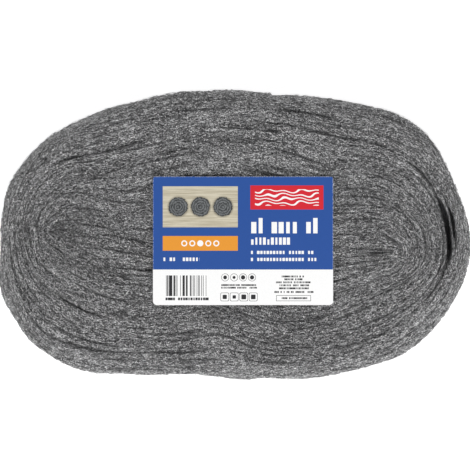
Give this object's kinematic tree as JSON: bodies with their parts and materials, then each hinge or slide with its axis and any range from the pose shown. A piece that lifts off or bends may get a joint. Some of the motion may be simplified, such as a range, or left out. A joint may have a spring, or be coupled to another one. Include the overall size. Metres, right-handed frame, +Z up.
{
  "type": "steel wool bundle",
  "caption": "Oval roll of coiled grey steel wool lying on its side, with a rectangular printed card label on its upper face.",
  "frame": {"origin": "centre of the base, on the surface that the roll rests on", "axes": "+X along the oval's length, +Y across it towards the label's upper edge, +Z up out of the coiled face that carries the label"},
  "size_m": [0.285, 0.175, 0.0907],
  "materials": {
    "wool": "fine steel fibres, dull grey with bright glints",
    "label": "smooth printed card, blue with a white band"
  },
  "bodies": {
    "root": {"wool_roll": "wool", "label_card": "label"}
  },
  "joints": []
}
